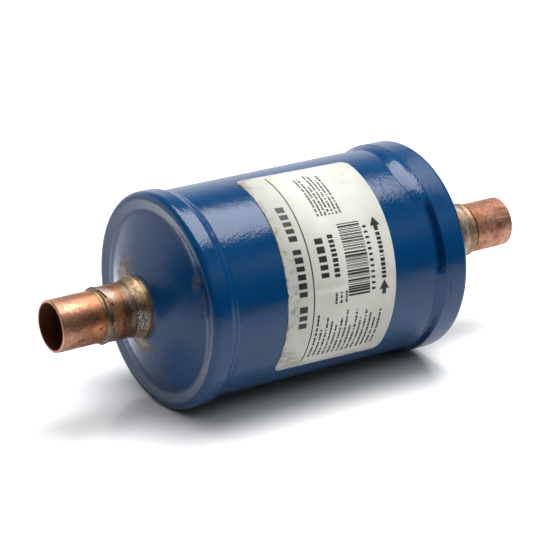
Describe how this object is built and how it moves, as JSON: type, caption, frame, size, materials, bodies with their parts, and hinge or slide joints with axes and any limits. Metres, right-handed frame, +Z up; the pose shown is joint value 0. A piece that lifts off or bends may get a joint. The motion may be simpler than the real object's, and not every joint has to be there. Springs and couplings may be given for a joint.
{
  "type": "filter drier",
  "caption": "Hermetic refrigerant filter drier: blue steel can with pressed end caps, brazed copper solder sockets and a spring-loaded desiccant core.",
  "frame": {"origin": "on the can's axis, midway between the two socket mouths", "axes": "+X along the axis in the direction of flow, from the inlet socket to the outlet socket; +Z up; the label faces -Y and up"},
  "size_m": [0.189, 0.0756, 0.0756],
  "materials": {
    "shell_paint": "gloss",
    "cap_paint": "gloss",
    "weld_paint": "gloss",
    "plated_nipple": "satin",
    "copper": "satin",
    "braze": "satin",
    "label_foil": "satin",
    "spring_steel": "satin",
    "plate_steel": "satin",
    "desiccant": "matte",
    "fibre": "matte",
    "felt": "matte"
  },
  "bodies": {
    "root": {"shell_tube": "shell_paint", "inlet_cap": "cap_paint", "outlet_cap": "cap_paint", "inlet_cap_weld": "weld_paint", "outlet_cap_weld": "weld_paint", "inlet_nipple": "plated_nipple", "outlet_nipple": "plated_nipple", "inlet_tube": "copper", "outlet_tube": "copper", "inlet_nipple_braze": "braze", "outlet_nipple_braze": "braze", "inlet_tube_braze": "braze", "outlet_tube_braze": "braze", "label": "label_foil", "compression_spring": "spring_steel", "spring_plate": "plate_steel", "outlet_plate": "plate_steel", "desiccant_core": "desiccant", "core_seal": "fibre", "filter_pad": "felt"}
  },
  "joints": []
}
